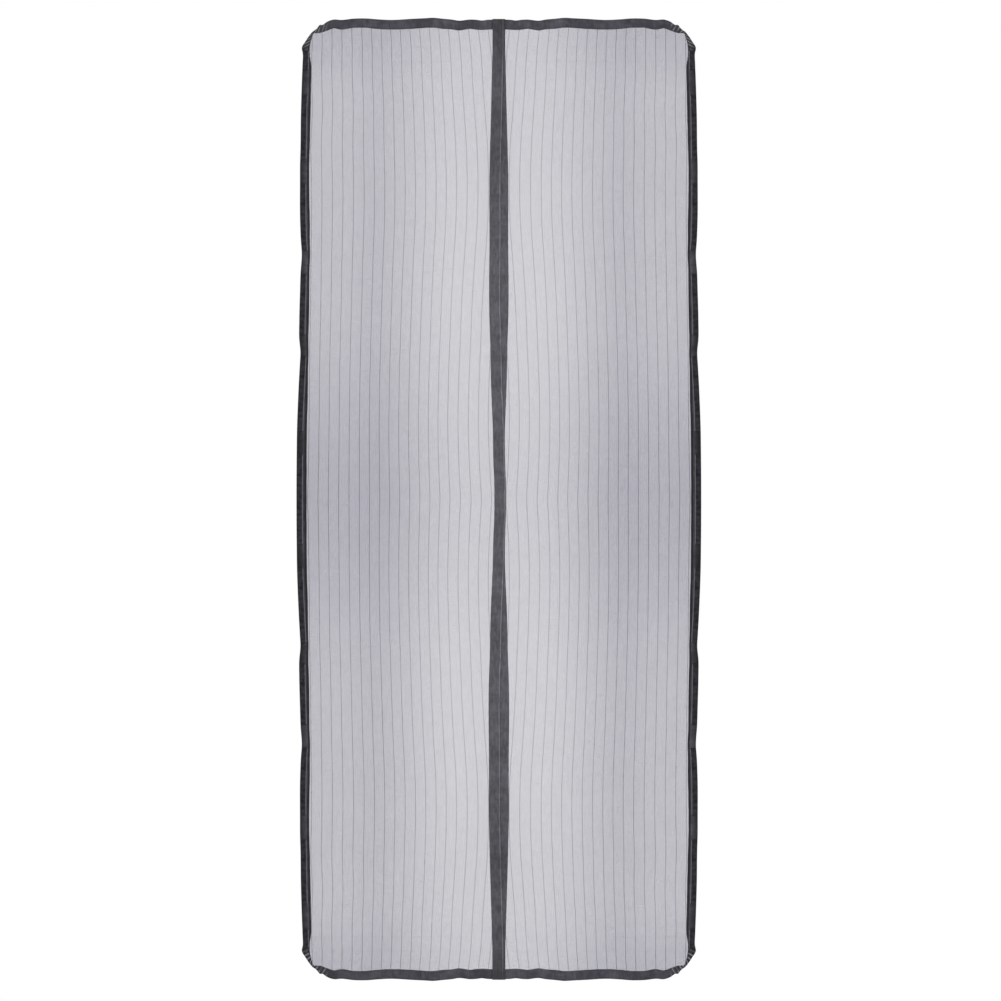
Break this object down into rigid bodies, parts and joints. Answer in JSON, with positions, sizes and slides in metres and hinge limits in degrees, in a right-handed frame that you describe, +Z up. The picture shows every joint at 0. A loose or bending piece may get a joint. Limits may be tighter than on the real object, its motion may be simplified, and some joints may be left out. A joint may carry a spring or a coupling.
{
  "type": "magnetic insect screen",
  "caption": "Two striped net panels in dark folded tape that hang in a doorway and close down the middle with magnets in their overlapping centre tapes.",
  "frame": {"origin": "on the flat back face of the header, halfway along it and on its middle line", "axes": "+X to the right, +Z up along the screen's height, the front faces -Y and the backs of the header, sides and hems lie in the plane Y = 0"},
  "size_m": [0.8856, 0.0114, 2.107],
  "materials": {
    "tape": "charcoal woven tape",
    "centre_tape": "grey woven tape",
    "fastener_pile": "black looped pile",
    "net": "fine grey polyester net",
    "magnet": "plated magnet"
  },
  "bodies": {
    "root": {"top_binding": "tape", "left_side_binding": "tape", "left_bottom_binding": "tape", "left_centre_binding": "centre_tape", "left_net_panel": "net", "left_magnet_01": "magnet", "left_magnet_02": "magnet", "left_magnet_03": "magnet", "left_magnet_04": "magnet", "left_magnet_05": "magnet", "left_magnet_06": "magnet", "left_magnet_07": "magnet", "left_magnet_08": "magnet", "left_magnet_09": "magnet", "left_fastener_strip_01": "fastener_pile", "left_fastener_strip_02": "fastener_pile", "left_fastener_strip_03": "fastener_pile", "left_fastener_strip_04": "fastener_pile", "left_fastener_strip_05": "fastener_pile", "left_fastener_strip_06": "fastener_pile", "left_fastener_strip_07": "fastener_pile", "left_fastener_strip_08": "fastener_pile", "left_fastener_strip_09": "fastener_pile", "left_fastener_strip_10": "fastener_pile", "left_fastener_strip_11": "fastener_pile", "right_side_binding": "tape", "right_bottom_binding": "tape", "right_centre_binding": "centre_tape", "right_net_panel": "net", "right_magnet_01": "magnet", "right_magnet_02": "magnet", "right_magnet_03": "magnet", "right_magnet_04": "magnet", "right_magnet_05": "magnet", "right_magnet_06": "magnet", "right_magnet_07": "magnet", "right_magnet_08": "magnet", "right_magnet_09": "magnet", "right_fastener_strip_01": "fastener_pile", "right_fastener_strip_02": "fastener_pile", "right_fastener_strip_03": "fastener_pile", "right_fastener_strip_04": "fastener_pile", "right_fastener_strip_05": "fastener_pile", "right_fastener_strip_06": "fastener_pile", "right_fastener_strip_07": "fastener_pile", "right_fastener_strip_08": "fastener_pile", "right_fastener_strip_09": "fastener_pile", "right_fastener_strip_10": "fastener_pile", "right_fastener_strip_11": "fastener_pile"}
  },
  "joints": []
}
